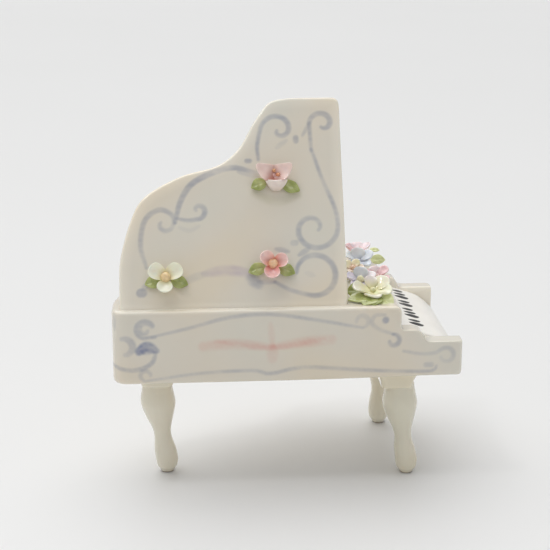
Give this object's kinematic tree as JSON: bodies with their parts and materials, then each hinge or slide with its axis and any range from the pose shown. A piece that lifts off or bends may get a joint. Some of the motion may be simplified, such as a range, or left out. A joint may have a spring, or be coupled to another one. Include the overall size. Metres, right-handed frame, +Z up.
{
  "type": "miniature grand piano",
  "caption": "Porcelain ornament shaped as a grand piano, with an open lid, cabriole legs, a painted keyboard and applied flowers.",
  "frame": {"origin": "middle of the overall bounding box in plan, on the surface the feet stand on", "axes": "+X towards the keyboard, +Y from the straight spine to the treble side, +Z up"},
  "size_m": [0.084, 0.0468, 0.0909],
  "materials": {
    "porcelain": "glossy cream-white glaze with painted scrolls",
    "porcelain_inside": "glossy cream-white glaze",
    "petal_cream": "glossy coloured glaze",
    "petal_blush": "glossy coloured glaze",
    "petal_rose": "glossy coloured glaze",
    "petal_blue": "glossy coloured glaze",
    "petal_yellow": "glossy coloured glaze",
    "centre_rose": "glossy coloured glaze",
    "centre_peach": "glossy coloured glaze",
    "centre_apricot": "glossy coloured glaze",
    "centre_yellow": "glossy coloured glaze",
    "leaf_green": "glossy coloured glaze"
  },
  "bodies": {
    "root": {"case": "porcelain", "front_deck": "porcelain", "keyboard": "porcelain", "lid": "porcelain", "leg_tail": "porcelain", "leg_front_bass": "porcelain", "leg_front_treble": "porcelain", "leg_block_tail": "porcelain", "leg_block_front_bass": "porcelain", "leg_block_front_treble": "porcelain", "soundboard": "porcelain_inside", "pin_block": "porcelain_inside", "harp_plate": "porcelain_inside", "harp_strut_1": "porcelain_inside", "harp_strut_2": "porcelain_inside", "harp_strut_3": "porcelain_inside", "flower_high_petal_1": "petal_blush", "flower_high_petal_2": "petal_blush", "flower_high_petal_3": "petal_blush", "flower_high_leaf_1": "leaf_green", "flower_high_leaf_2": "leaf_green", "flower_high_centre": "centre_rose", "flower_low_tail_petal_1": "petal_cream", "flower_low_tail_petal_2": "petal_cream", "flower_low_tail_petal_3": "petal_cream", "flower_low_tail_leaf_1": "leaf_green", "flower_low_tail_leaf_2": "leaf_green", "flower_low_tail_centre": "centre_peach", "flower_low_front_petal_1": "petal_rose", "flower_low_front_petal_2": "petal_rose", "flower_low_front_petal_3": "petal_rose", "flower_low_front_leaf_1": "leaf_green", "flower_low_front_leaf_2": "leaf_green", "flower_low_front_centre": "centre_apricot", "bouquet_cream": "petal_cream", "bouquet_cream_centre": "centre_yellow", "bouquet_blue": "petal_blue", "bouquet_blue_centre": "centre_yellow", "bouquet_pink": "petal_rose", "bouquet_pink_centre": "centre_yellow", "bouquet_yellow": "petal_yellow", "bouquet_yellow_centre": "centre_yellow", "bouquet_slate": "petal_blue", "bouquet_slate_centre": "centre_yellow", "bouquet_blush": "petal_blush", "bouquet_blush_centre": "centre_yellow", "bouquet_leaf_1": "leaf_green", "bouquet_leaf_2": "leaf_green", "bouquet_leaf_3": "leaf_green", "bouquet_leaf_4": "leaf_green", "bouquet_leaf_5": "leaf_green", "bouquet_leaf_6": "leaf_green", "bouquet_leaf_7": "leaf_green", "bouquet_leaf_8": "leaf_green"}
  },
  "joints": []
}
